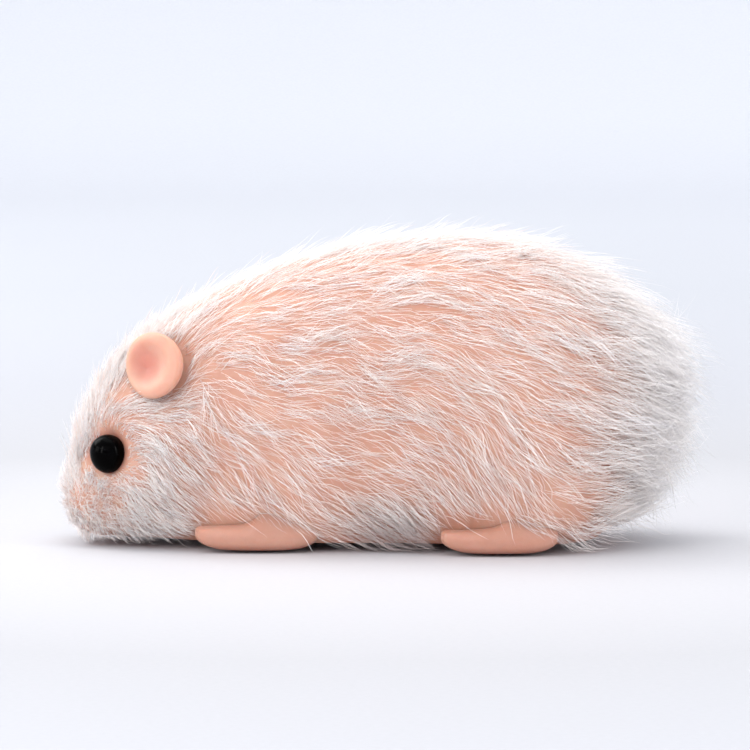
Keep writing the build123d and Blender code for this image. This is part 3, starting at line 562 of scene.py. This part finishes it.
def make_ear(side, name):
    """A cupped ear: its hollow sits towards the front, and its rim is widest and thickest at the back."""
    rings, around = 28, 84
    centre = EAR * np.array([side, 1, 1])
    facing = EAR_FACING * np.array([side, 1, 1])
    up = unit(np.array([0, 0.12, 1.0]) - facing * (0.12 * facing[1] + facing[2]))
    back = np.cross(up, facing) * side
    points, inner = [], []
    for face in (1, -1):
        for i in range(rings + 1):
            u = i / rings if face == 1 else 1 - i / rings
            for j in range(around):
                a = 2 * math.pi * j / around
                front = 0.5 + 0.5 * math.cos(a - math.radians(-150))
                cup = u / (1 - 0.3 * (1 - front))
                inner.append(face * (1 - smooth(0.2, 0.9, cup)))
                radius = EAR_RADIUS * (1 + 0.07 * math.cos(2 * a + 0.3)) * (1 - 0.06 * front**3)
                bowl = -2.5 * (1 - smooth(-0.35, 1.0, cup)) / (1 - smooth(-0.35, 1.0, 0))
                bowl = bowl - 2.7 * front**2 * u + 0.7 * (1 - front) * u**5
                rim = math.sqrt(max(0.0, 1 - u**7))
                thick = (0.4 + 1.15 * smooth(0.35, 0.8, u) * (1 - front) ** 0.7) * rim
                across = radius * u * math.cos(a) - 1.7 * (1 - u)
                along = radius * u * math.sin(a) - 0.3 * (1 - u)
                points.append(centre + back * across + up * along + facing * (bowl + face * thick))
    obj = mesh_piece(name, to_row(np.array(points)), grid_faces(2 * (rings + 1), around, caps=False))
    paint_blush(obj, inner)
    edit = bmesh.new()
    edit.from_mesh(obj.data)
    bmesh.ops.remove_doubles(edit, verts=edit.verts, dist=0.02 * MM)
    bmesh.ops.recalc_face_normals(edit, faces=edit.faces)
    edit.to_mesh(obj.data)
    edit.free()
    obj.data.polygons.foreach_set("use_smooth", [True] * len(obj.data.polygons))
    finish_piece(obj, "body", "ear_vinyl", ear_vinyl, name.removesuffix("_vinyl"))


make_ear(1, "left_ear_vinyl")
make_ear(-1, "right_ear_vinyl")


# ---------------------------------------------------------------- paws
PAW_WIDTH = 7.0
PAW_FLOOR = 0.35
FRONT_PAW_LENGTH, REAR_PAW_LENGTH = 20.6, 19.4


def make_paw(side, centre, node, length, height, leg):
    """A long soft paw: a rocker sole, toes pressed into its front end, and a leg rising from the heel."""
    rings, around = 84, 64
    points = np.zeros((rings, around, 3))
    for i in range(rings):
        y = math.sin((i / (rings - 1) * 2 - 1) * math.pi / 2)
        girth = math.sqrt(max(1 - y * y, 0.0)) ** 0.55
        heel = math.exp(-(((y - 0.42) / 0.34) ** 2))
        toe_end = smooth(0.5, 0.95, -y)
        for j in range(around):
            a = 2 * math.pi * j / around
            top = max(0.0, math.sin(a))
            x = math.copysign(abs(math.cos(a)) ** 0.72, math.cos(a)) * PAW_WIDTH / 2 * girth
            z = math.copysign(abs(math.sin(a)) ** 0.72, math.sin(a)) * height / 2 * girth
            between = 0.5 - 0.5 * math.cos(2 * math.pi * 3.5 * x / PAW_WIDTH)
            rise = leg * heel * top**1.5
            z += height / 2 + 0.9 * y**4 + rise - toe_end * between * 0.4 * top
            points[i, j] = (x * (1 - 0.3 * heel * top) - side * rise * 0.42, y * length / 2, z)
            points[i, j, 1] += toe_end * between * 0.8
    z = points[..., 2]
    points[..., 2] = (z + PAW_FLOOR + np.sqrt((z - PAW_FLOOR) ** 2 + 0.12)) / 2
    points += np.array([side * centre[0], centre[1], 0.0])
    caps = [points[0].mean(0), points[-1].mean(0)]
    all_points = np.vstack([points.reshape(-1, 3), caps])
    obj = mesh_piece(f"{node}_vinyl", to_row(all_points), grid_faces(rings, around))
    # The paw is a deeper colour towards the floor.
    paint_blush(obj, 0.8 * (1 - smooth(0.3, 1.8, all_points[:, 2])))
    finish_piece(obj, "body", "paw_vinyl", paw_vinyl, node)


for side, word in ((1, "left"), (-1, "right")):
    make_paw(side, FRONT_PAW, f"front_{word}_paw", FRONT_PAW_LENGTH, height=4.6, leg=7.5)
    make_paw(side, REAR_PAW, f"rear_{word}_paw", REAR_PAW_LENGTH, height=4.4, leg=4.0)


# ---------------------------------------------------------------- hair
HAIR_COUNT = 47000
CLUMP_COUNT = 7600
SEGMENTS = 5
GUARD_SHARE = 0.36
# Roots start ROOT_DEPTH inside the skin. Hair keeps above HAIR_FLOOR, and below LYING_FLAT it lies flat.
ROOT_DEPTH = 0.25
HAIR_FLOOR = 0.2
LYING_FLAT = 0.6


def near(points, centre, reach):
    """1 at a centre on either flank, fading out over the reach in y and z."""
    gap = ((points[..., 1] - centre[0]) / reach[0]) ** 2 + ((points[..., 2] - centre[1]) / reach[1]) ** 2
    return np.exp(-gap)


def crowding(points):
    """How closely the hair stands, compared with the flank: closer on the face, the back and the rump."""
    y, z = points[..., 1], points[..., 2]
    face = 1 - smooth(-42, -28, y)
    crowd = 1 + 3.4 * face + 1.6 * face * (1 - smooth(8, 16, z))
    crowd = crowd + 0.4 * smooth(40, 50, z) + 0.75 * smooth(24, 46, y)
    crowd = crowd * (1 - 0.8 * near(points, (-10.5, 6.0), (4.5, 6.5)))
    crowd = crowd * (1 - 0.6 * near(points, (27.5, 9.0), (4.0, 7.0)))
    return crowd + 1.6 * near(points, (1.0, 4.0), (9.0, 5.0))


def sample_skin(count):
    """Random places on the outer skin, as positions and outward directions."""
    p00, p01 = skin_grid[:-1], np.roll(skin_grid, -1, axis=1)[:-1]
    p10, p11 = skin_grid[1:], np.roll(skin_grid, -1, axis=1)[1:]
    area = np.linalg.norm(np.cross(p11 - p00, p10 - p01), axis=-1).ravel() / 2
    area *= crowding((p00 + p11) / 2).ravel()
    pick = rng.choice(area.size, count, p=area / area.sum())
    u, v = rng.random((2, count, 1))

    def at(grid):
        """The grid's values at the picked places."""
        corners = grid[:-1], np.roll(grid, -1, axis=1)[:-1], grid[1:], np.roll(grid, -1, axis=1)[1:]
        a, b, c, d = (corner.reshape(-1, 3)[pick] for corner in corners)
        return (a * (1 - u) + b * u) * (1 - v) + (c * (1 - u) + d * u) * v

    return at(skin_grid), unit(at(skin_normals))


def wavy(points, seed, scale):
    """A smooth random vector for each point: sums of a few sine waves."""
    local = np.random.default_rng(seed)
    total = np.zeros_like(points)
    for _ in range(5):
        direction = local.normal(size=(3, 3)) / scale
        total += np.sin(points @ direction + local.random(3) * 6.28)
    return total / 2.2


def flow(points, normals):
    """The direction in which the hair lies, its length, its lift off the skin, and how curly it is."""
    y, z = points[:, 1], points[:, 2]
    side = np.abs(normals[:, 0])
    head = 1 - smooth(-38, -24, y)
    rump = smooth(24, 42, y)
    low = 1 - smooth(5, 20, z)
    muzzle = (1 - smooth(-47, -37, y)) * (1 - smooth(9, 16, z))
    fringe = near(points, (1.0, 3.0), (11.0, 6.0))
    down = 0.06 + 0.3 * side + 0.1 * low * side
    down += 1.3 * side * near(points, (15.0, 15.0), (8.0, 11.0)) * smooth(1, 9, z)
    down += 0.5 * side * near(points, (-33.0, 13.0), (9.0, 8.0))
    down -= 0.75 * side * near(points, (34.0, 14.0), (6.0, 7.0))
    down = down * (1 - 0.5 * rump) + 0.15 * fringe
    lie = np.stack([np.zeros_like(y), np.ones_like(y), -down], axis=1)
    facing_front = smooth(0.25, 0.85, -normals[:, 1])[:, None]
    lie = lie * (1 - facing_front) + 1.3 * facing_front * unit(points - NOSE_TIP)
    for mirror in (1, -1):
        away = points - EYE * np.array([mirror, 1, 1])
        gap = np.linalg.norm(away, axis=1, keepdims=True)
        lie += 1.1 * away / gap * np.exp(-((gap - EYE_RADIUS) / 2.2))
        away = points - EAR * np.array([mirror, 1, 1])
        gap = np.linalg.norm(away, axis=1, keepdims=True)
        lie += 0.6 * away / gap * np.exp(-((gap - 5) / 2.0))
    lie += 0.12 * wavy(points, 3, 9.0) + 0.3 * wavy(points, 4, 2.0)
    lie += 0.5 * muzzle[:, None] * wavy(points, 5, 1.6)
    lie = unit(lie - normals * np.sum(lie * normals, axis=1, keepdims=True))

    length = 8.6 - 2.9 * head - 1.4 * muzzle + 6.2 * rump * (1 - 0.4 * low)
    length = length - 0.8 * low * (1 - rump) + 0.8 * fringe
    eye_gaps = [np.linalg.norm(points - EYE * np.array([mirror, 1, 1]), axis=1) for mirror in (1, -1)]
    length *= 0.4 + 0.6 * smooth(3.4, 8.0, np.min(eye_gaps, axis=0))
    lift = 0.22 + 0.12 * head + 0.4 * muzzle + 0.55 * rump * (1 - 0.5 * low) + 0.4 * fringe
    return lie, length, lift, muzzle


def clear_of_features(points, normals):
    """False where the skin is bare: eyes, ears, paws, nose, key bush and the flat belly."""
    keep = (points[:, 2] > 2.4) & (normals[:, 2] > -0.85)
    for mirror in (1, -1):
        flip = np.array([mirror, 1, 1])
        keep &= np.linalg.norm(points - EYE * flip, axis=1) > EYE_RADIUS + 0.5
        keep &= np.linalg.norm(points - EAR * flip, axis=1) > 5.4
    keep &= np.linalg.norm((points - NOSE_TIP) / np.array([1.6, 1.6, 1.0]), axis=1) > 1.3
    keep &= np.hypot(points[:, 1] - KEY[1], points[:, 2] - KEY[2]) + 9 * (points[:, 0] > 0) > 4.2
    return keep


def strands(points, normals):
    """Centre lines of the hairs: an array of (hair, step, xyz)."""
    lie, length, lift, curl = flow(points, normals)
    count = len(points)
    length = length * rng.normal(1, 0.2, count).clip(0.4, 1.6)
    stray = (rng.random(count) < 0.1) * rng.random(count)
    lift = lift + rng.normal(0, 0.08, count) + 0.5 * stray
    lie = unit(lie + rng.normal(0, 0.17, (count, 3)))
    bend = rng.normal(0, 0.18, (count, 3)) * (1 + 2 * stray[:, None])
    across = np.cross(lie, normals)
    phase = rng.random(count) * 2 * np.pi
    line = np.zeros((count, SEGMENTS + 1, 3))
    line[:, 0] = points - normals * ROOT_DEPTH
    for step in range(SEGMENTS):
        s = (step + 0.5) / SEGMENTS
        rise = np.sin(lift * (1 - 0.75 * s))[:, None]
        heading = lie + normals * rise + bend * s + np.array([0, 0, -0.16]) * s
        heading += 0.2 * np.cos(phase + 8.5 * s)[:, None] * across
        turn = (phase + 5.5 * s)[:, None]
        heading += 1.1 * curl[:, None] * (np.cos(turn) * across + np.sin(turn) * normals * 0.5)
        line[:, step + 1] = line[:, step] + unit(heading) * (length / SEGMENTS)[:, None]
    over_floor = line[..., 2] - HAIR_FLOOR
    line[..., 2] = HAIR_FLOOR + (over_floor + np.sqrt(over_floor**2 + 0.06)) / 2
    return line


def clumped(line, leaders, nearest, gather):
    """Draws each hair towards its clump's leader, more at the tip."""
    lead = leaders[nearest]
    offset = line[:, :1] - lead[:, :1]
    s = np.linspace(0, 1, SEGMENTS + 1)[None, :, None]
    target = lead + offset * (1 - 0.8 * s)
    weight = gather[:, None, None] * s**1.1
    return line * (1 - weight) + target * weight


def free_of_features(line):
    """False for a hair that would cross an eye, an ear, a paw or the key, or lie flat on the floor."""
    keep = np.ones(len(line), bool)
    for mirror in (1, -1):
        flip = np.array([mirror, 1, 1])
        beside = line - EYE * flip
        across = np.hypot(beside[..., 1], np.maximum(beside[..., 2], -beside[..., 2] / BEAD_STRETCH))
        keep &= ~((across < EYE_RADIUS + 0.15) & (beside[..., 0] * mirror > -2.5)).any(1)
        beside = line - EAR * flip
        facing = EAR_FACING * flip
        along = beside @ facing
        across = np.linalg.norm(beside - along[..., None] * facing, axis=-1)
        keep &= ~((across < 5.6) & (along > -3.2) & (along < 9) & (beside[..., 2] > -3.6)).any(1)
        for paw, length in ((FRONT_PAW, FRONT_PAW_LENGTH), (REAR_PAW, REAR_PAW_LENGTH)):
            within = (line - np.array([paw[0], paw[1], 2.4]) * flip) / np.array([3.7, length / 2, 2.7])
            keep &= ~(np.sum(within**2, axis=-1) < 1).any(1)
            under = (np.abs(within[..., 0]) < 1) & (np.abs(within[..., 1]) < 1) & (within[..., 2] < 0)
            keep &= ~under.any(1)
    keep &= np.sum(line[..., 2] < LYING_FLAT, axis=1) < 3
    near_key = np.hypot(line[..., 1] - KEY[1], line[..., 2] - KEY[2])
    keep &= ~((near_key < 3.0) & (line[..., 0] < -15)).any(1)
    return keep


def hair_mesh(name, line, radius, tone):
    """Closed three-sided tapering tubes along the centre lines, in one mesh."""
    count, rings = len(line), SEGMENTS
    heading = unit(np.gradient(line, axis=1))
    side = unit(np.cross(heading, np.array([0.31, 0.22, 0.93])))
    other = np.cross(heading, side)
    along = np.linspace(0, 1, SEGMENTS + 1)
    taper = (1 - 0.72 * along**1.6)[None, :rings, None]
    angles = np.arange(3) * 2 * np.pi / 3
    around = (
        np.cos(angles)[None, None, :, None] * side[:, :rings, None]
        + np.sin(angles)[None, None, :, None] * other[:, :rings, None]
    )
    tube = line[:, :rings, None] + around * (radius[:, None, None] * taper)[..., None]
    points = np.concatenate([tube.reshape(count, rings * 3, 3), line[:, -1:]], axis=1)
    per = rings * 3 + 1
    quads = [
        (r * 3 + k, r * 3 + (k + 1) % 3, (r + 1) * 3 + (k + 1) % 3, (r + 1) * 3 + k)
        for r in range(rings - 1)
        for k in range(3)
    ]
    tris = [((rings - 1) * 3 + k, (rings - 1) * 3 + (k + 1) % 3, per - 1) for k in range(3)] + [(2, 1, 0)]
    base = (np.arange(count) * per)[:, None, None]
    quad_index = (np.array(quads)[None] + base).reshape(-1)
    tri_index = (np.array(tris)[None] + base).reshape(-1)
    n_quads, n_tris = count * len(quads), count * len(tris)
    mesh = bpy.data.meshes.new(name)
    mesh.vertices.add(count * per)
    mesh.vertices.foreach_set("co", to_row(points.reshape(-1, 3)).astype(np.float32).ravel())
    mesh.loops.add(len(quad_index) + len(tri_index))
    mesh.loops.foreach_set("vertex_index", np.concatenate([quad_index, tri_index]).astype(np.int32))
    starts = np.concatenate([np.arange(n_quads) * 4, n_quads * 4 + np.arange(n_tris) * 3])
    mesh.polygons.add(n_quads + n_tris)
    mesh.polygons.foreach_set("loop_start", starts.astype(np.int32))
    mesh.polygons.foreach_set("use_smooth", np.ones(n_quads + n_tris, bool))
    mesh.update(calc_edges=True)
    per_point = np.concatenate([np.repeat(along[:rings], 3), [1.0]])
    # Painted shade: hair low down under the belly is darkened, the more the nearer it is to the floor.
    belly = 0.7 * (1 - smooth(1.0, 8.0, points[..., 2])) * near(points, (4.0, 3.0), (11.0, 9.0))
    # Face hair takes almost none of the painted pink towards the roots.
    pale = 0.34 * (1 - smooth(-42, -30, line[:, :1, 1]))
    values = {
        "along": np.maximum(per_point, pale).ravel(),
        "tone": np.repeat(tone, per),
        "shade": belly.ravel(),
    }
    for attribute, value in values.items():
        mesh.attributes.new(attribute, "FLOAT", "POINT").data.foreach_set("value", value.astype(np.float32))
    obj = bpy.data.objects.new(name, mesh)
    bpy.context.scene.collection.objects.link(obj)
    finish_piece(obj, "body", "hair", hair_strands, "fur_coat")


roots, root_normals = sample_skin(HAIR_COUNT)
clear = clear_of_features(roots, root_normals)
roots, root_normals = roots[clear], root_normals[clear]
lead_roots, lead_normals = sample_skin(CLUMP_COUNT)
lead_lines = strands(lead_roots, lead_normals)
tree = KDTree(CLUMP_COUNT)
for index, point in enumerate(lead_roots):
    tree.insert(point, index)
tree.balance()
nearest = np.array([tree.find(point)[1] for point in roots])
clump_gather = rng.beta(2.0, 2.0, CLUMP_COUNT)
hairs = clumped(strands(roots, root_normals), lead_lines, nearest, clump_gather[nearest] * 0.9)
free = free_of_features(hairs)
hairs, nearest = hairs[free], nearest[free]
guard = rng.random(len(hairs)) < GUARD_SHARE
hair_radius = np.where(guard, rng.uniform(0.046, 0.066, len(hairs)), rng.uniform(0.025, 0.038, len(hairs)))
clump_tone = rng.random(CLUMP_COUNT)
tones = np.where(rng.random(len(hairs)) < 0.5, clump_tone[nearest], rng.random(len(hairs)))
tones = np.maximum(tones, smooth(38, 58, hairs[:, -1, 1]) * rng.uniform(0.5, 1.0, len(hairs)))

start = hairs[:, 0]
REGIONS = {
    "hair_face": start[:, 1] < -40,
    "hair_head": (start[:, 1] >= -40) & (start[:, 1] < -28),
    "hair_shoulders": (start[:, 1] >= -28) & (start[:, 1] < -10),
    "hair_middle": (start[:, 1] >= -10) & (start[:, 1] < 8),
    "hair_hips": (start[:, 1] >= 8) & (start[:, 1] < 24),
    "hair_rump": start[:, 1] >= 24,
}
for region, inside in REGIONS.items():
    for word, chosen in (("left", start[:, 0] >= 0), ("right", start[:, 0] < 0)):
        here = inside & chosen
        hair_mesh(f"{region}_{word}", hairs[here], hair_radius[here], tones[here])

# ---------------------------------------------------------------- floor, light and camera
DISTANCE = 0.9
ELEVATION = math.radians(5)
AIM = Vector((MID_X * MM, -0.0008, 0.0282))
FRAME_WIDTH = 0.1265

floor_material = Shader("backdrop", Roughness=0.7)
# The paper's tone changes with the distance from the mouse: 1 on this ramp is 1.67 m. It is painted lighter
# right round the mouse, a painted light that thins the contact shadow, and lighter again towards the wall,
# painted to make up for the weaker light there.
from_mouse = floor_material.tree.nodes.new("ShaderNodeVectorMath")
from_mouse.operation = "LENGTH"
floor_material.tree.links.new(floor_material.stretched((0.6, 0.6, 0.6)), from_mouse.inputs[0])
paper_with_painted_light = floor_material.ramp(
    from_mouse.outputs["Value"],
    (0.024, linear(192, 191, 195)),
    (0.09, linear(173, 173, 177)),
    (0.18, linear(178, 179, 185)),
    (0.36, linear(194, 196, 202)),
    (0.54, linear(214, 216, 222)),
    (0.64, linear(222, 224, 230)),
    (0.74, linear(230, 232, 238)),
)
speckle = floor_material.ramp(floor_material.noise(900, 3.0), (0.3, (0.97,)), (0.7, (1.0,)))
floor_material.feed(Base_Color=floor_material.mix(1.0, paper_with_painted_light, speckle, "MULTIPLY"))
floor_material.bump(floor_material.noise(4000, 2.0), 0.00001, 0.2)

# A round floor that bends up into a wall all the way round.
FLOOR_RADIUS, BEND_RADIUS, WALL_TOP = 1.1, 0.4, 0.7
WALL_SIDES = 96
bend = np.linspace(0, np.pi / 2, 20)
profile = [(0.02, 0.0), (0.5, 0.0)]
profile += [(FLOOR_RADIUS + BEND_RADIUS * math.sin(a), BEND_RADIUS * (1 - math.cos(a))) for a in bend]
profile += [(FLOOR_RADIUS + BEND_RADIUS, WALL_TOP)]
turns = np.linspace(0, 2 * np.pi, WALL_SIDES, endpoint=False)
sweep = [(r * math.cos(a), r * math.sin(a), z) for r, z in profile[::-1] for a in turns] + [(0, 0, 0)]
sweep_faces = grid_faces(len(profile), WALL_SIDES, caps=False)
last_ring, centre_point = (len(profile) - 1) * WALL_SIDES, len(sweep) - 1
for j in range(WALL_SIDES):
    sweep_faces.append((centre_point, last_ring + (j + 1) % WALL_SIDES, last_ring + j))
backdrop = mesh_piece("backdrop", sweep, sweep_faces)
backdrop.data.materials.append(floor_material.material)

scene = bpy.context.scene
scene.view_settings.view_transform = "Standard"
scene.view_settings.look = "None"
world = bpy.data.worlds.new("studio")
scene.world = world
world.use_nodes = True
background = world.node_tree.nodes["Background"]
# The sky fades from a cool white to grey towards the camera's side.
sky = world.node_tree.nodes.new("ShaderNodeTexCoord")
towards = world.node_tree.nodes.new("ShaderNodeVectorMath")
towards.operation = "DOT_PRODUCT"
towards.inputs[1].default_value = (0.95, 0.05, -0.3)
fade = world.node_tree.nodes.new("ShaderNodeValToRGB")
fade.color_ramp.elements[0].position, fade.color_ramp.elements[0].color = 0.0, (0.95, 0.97, 1.0, 1)
fade.color_ramp.elements[1].position, fade.color_ramp.elements[1].color = 0.75, (0.42, 0.42, 0.43, 1)
world.node_tree.links.new(sky.outputs["Generated"], towards.inputs[0])
world.node_tree.links.new(towards.outputs["Value"], fade.inputs["Fac"])
world.node_tree.links.new(fade.outputs["Color"], background.inputs["Color"])
background.inputs["Strength"].default_value = 1.24


def softbox(name, place, aim, size, power, colour=(1, 1, 1)):
    """A rectangular area light that faces a point."""
    light = bpy.data.lights.new(name, "AREA")
    light.shape, light.size, light.size_y = "RECTANGLE", size[0], size[1]
    light.energy, light.color = power, colour
    obj = bpy.data.objects.new(name, light)
    scene.collection.objects.link(obj)
    obj.location = place
    obj.rotation_euler = (Vector(aim) - Vector(place)).to_track_quat("-Z", "Y").to_euler()


softbox("window_left", (0.62, -0.5, 0.3), (0, 0, 0.02), (0.05, 0.56), 2.6, (1.0, 0.985, 0.96))
softbox("window_right", (0.42, 0.7, 0.3), (0, 0, 0.02), (0.05, 0.56), 2.2, (1.0, 0.985, 0.96))
softbox("back_left", (-0.35, -0.6, 0.6), (0, 0, 0.02), (0.5, 0.5), 3.7)
softbox("front", (0.75, -0.15, 0.5), (0, 0, 0.02), (0.7, 0.35), 0.7)
softbox("face", (0.25, -0.85, 0.3), (0, -0.04, 0.02), (0.4, 0.4), 1.9)
softbox("top", (-0.1, -0.05, 0.8), (0, 0, 0.03), (0.6, 0.9), 2.8)

camera_data = bpy.data.cameras.new("camera")
camera = bpy.data.objects.new("camera", camera_data)
scene.collection.objects.link(camera)
camera.location = AIM + Vector((math.cos(ELEVATION), 0, math.sin(ELEVATION))) * DISTANCE
camera.rotation_euler = (AIM - camera.location).to_track_quat("-Z", "Y").to_euler()
camera_data.sensor_width = 36
camera_data.lens = camera_data.sensor_width * DISTANCE / FRAME_WIDTH
camera_data.clip_start, camera_data.clip_end = 0.05, 20
scene.camera = camera
